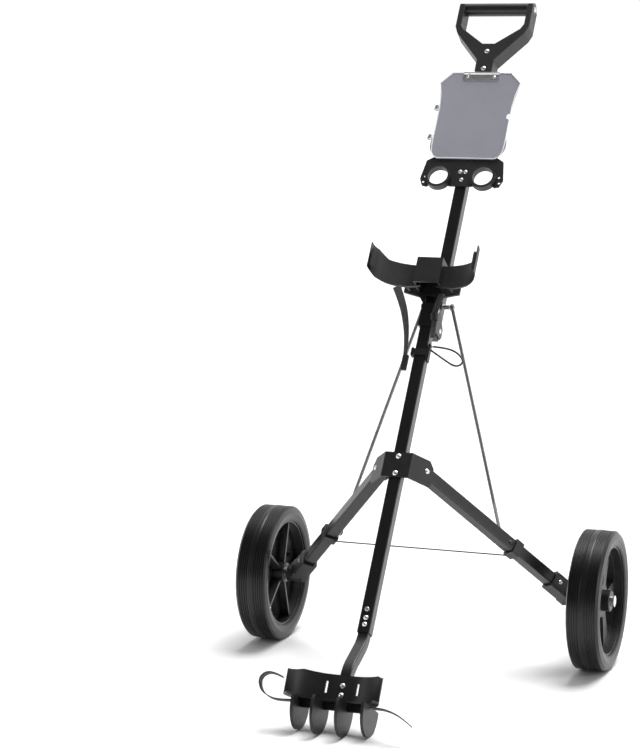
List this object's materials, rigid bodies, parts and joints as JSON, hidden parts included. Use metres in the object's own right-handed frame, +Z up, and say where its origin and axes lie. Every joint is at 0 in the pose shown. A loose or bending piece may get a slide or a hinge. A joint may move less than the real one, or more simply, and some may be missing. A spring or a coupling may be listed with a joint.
{
  "type": "golf push cart",
  "caption": "Folding golf push cart: spoked wheels on splayed legs, square-tube mast, bag cradle and base, score card console and D handle.",
  "frame": {"origin": "on the ground, under the middle of the cart's box without its straps", "axes": "+Z up, +Y to the rear (the handle side), +X to the right"},
  "size_m": [0.6816, 0.9862, 1.1803],
  "materials": {
    "black_tube": "gloss black powder coat",
    "black_bracket": "satin black powder coat",
    "rivet_steel": "bright zinc",
    "black_plastic": "moulded, satin",
    "rim_plastic": "moulded, satin",
    "tyre_rubber": "ribbed tread",
    "grip_rubber": "soft grip",
    "clear_board": "frosted clear plastic",
    "red_plastic": "moulded",
    "webbing": "woven strap",
    "elastic": "elastic cord",
    "cable_steel": "coated cable",
    "spring_steel": "spring steel",
    "bright_clip": "plated",
    "pad_foam": "soft pad"
  },
  "bodies": {
    "frame": {"main_tube": "black_tube", "main_tube_cap": "black_plastic", "lower_tube": "black_tube", "lower_tube_plug": "red_plastic", "mast_rivets": "rivet_steel", "button_spring": "spring_steel", "hub_bracket_front": "black_bracket", "hinge_bracket": "black_bracket", "handle_pivot_pin": "rivet_steel", "cradle": "black_plastic", "cradle_pads": "pad_foam", "base_bracket": "black_bracket", "base_fins": "black_plastic", "base_rivets": "rivet_steel", "leg_pivot_rivets": "rivet_steel", "spreader_cable": "cable_steel", "strap_left": "webbing", "strap_right": "webbing", "bungee": "elastic", "base_strap_left": "webbing", "base_strap_right": "webbing", "bungee_hook": "bright_clip", "strap_buckle": "black_plastic", "strap_ring": "black_plastic", "hub_bracket_rear_left": "black_bracket", "hub_bracket_rear_right": "black_bracket"},
    "handle": {"handle_tube": "black_tube", "handle_tube_cap": "black_plastic", "d_handle": "black_plastic", "handle_grip": "grip_rubber", "grip_bolt": "rivet_steel", "stem_rivets": "rivet_steel", "handle_rod_pin": "rivet_steel", "console_tray": "black_plastic", "console_rivets": "rivet_steel", "score_board": "clear_board", "board_clip": "bright_clip", "clip_rivets": "rivet_steel", "pencil_clips": "bright_clip"},
    "snap_button": {"snap_button": "rivet_steel"},
    "leg_left": {"leg_tube_left": "black_tube", "axle_block_left": "black_plastic", "block_rivet_left": "rivet_steel", "axle_left": "rivet_steel", "rod_lug_left": "black_bracket", "cable_clamp_left": "black_plastic"},
    "rod_left": {"brace_rod_left": "black_bracket"},
    "wheel_left": {"wheel_rim_left": "rim_plastic", "wheel_bush_left": "black_plastic", "tyre_left": "tyre_rubber"},
    "leg_right": {"leg_tube_right": "black_tube", "axle_block_right": "black_plastic", "block_rivet_right": "rivet_steel", "axle_right": "rivet_steel", "rod_lug_right": "black_bracket", "cable_clamp_right": "black_plastic"},
    "rod_right": {"brace_rod_right": "black_bracket"},
    "wheel_right": {"wheel_rim_right": "rim_plastic", "wheel_bush_right": "black_plastic", "tyre_right": "tyre_rubber"}
  },
  "joints": [
    {"name": "handle_fold", "type": "hinge", "parent": "frame", "child": "handle", "pos_m": [0, 0.07479, 0.59363], "axis": [-1, 0, 0], "range_deg": [0, 166]},
    {"name": "leg_left_fold", "type": "hinge", "parent": "frame", "child": "leg_left", "pos_m": [-0.037, -0.09434, 0.36779], "axis": [-0.7808, -0.5118, 0.3584], "range_deg": [0, 56.01], "deforming": ["spreader_cable"]},
    {"name": "rod_left_swing", "type": "hinge", "parent": "leg_left", "child": "rod_left", "pos_m": [-0.15308, 0.00985, 0.22656], "axis": [0.7642, 0.5359, -0.3591], "range_deg": [0, 35.99]},
    {"name": "wheel_left_spin", "type": "hinge", "parent": "leg_left", "child": "wheel_left", "pos_m": [-0.3095, 0.07892, 0.125], "axis": [1, 0, 0], "continuous": true},
    {"name": "leg_right_fold", "type": "hinge", "parent": "frame", "child": "leg_right", "pos_m": [0.037, -0.09434, 0.36779], "axis": [-0.7808, 0.5118, -0.3584], "range_deg": [0, 56.01], "deforming": ["spreader_cable"]},
    {"name": "rod_right_swing", "type": "hinge", "parent": "leg_right", "child": "rod_right", "pos_m": [0.15308, 0.00985, 0.22656], "axis": [0.7642, -0.5359, 0.3591], "range_deg": [0, 35.99]},
    {"name": "wheel_right_spin", "type": "hinge", "parent": "leg_right", "child": "wheel_right", "pos_m": [0.3095, 0.07892, 0.125], "axis": [1, 0, 0], "continuous": true},
    {"name": "snap_button_press", "type": "slide", "parent": "frame", "child": "snap_button", "axis": [0, 0.8192, -0.5736], "range_m": [0, 0.003], "stiffness_N_per_m": 1500}
  ],
  "couplings": [
    {"joint": "leg_left_fold", "follows": "handle_fold", "ratio": 0.33735},
    {"joint": "rod_left_swing", "follows": "handle_fold", "ratio": 0.21672},
    {"joint": "leg_right_fold", "follows": "handle_fold", "ratio": 0.33735},
    {"joint": "rod_right_swing", "follows": "handle_fold", "ratio": 0.21672}
  ]
}
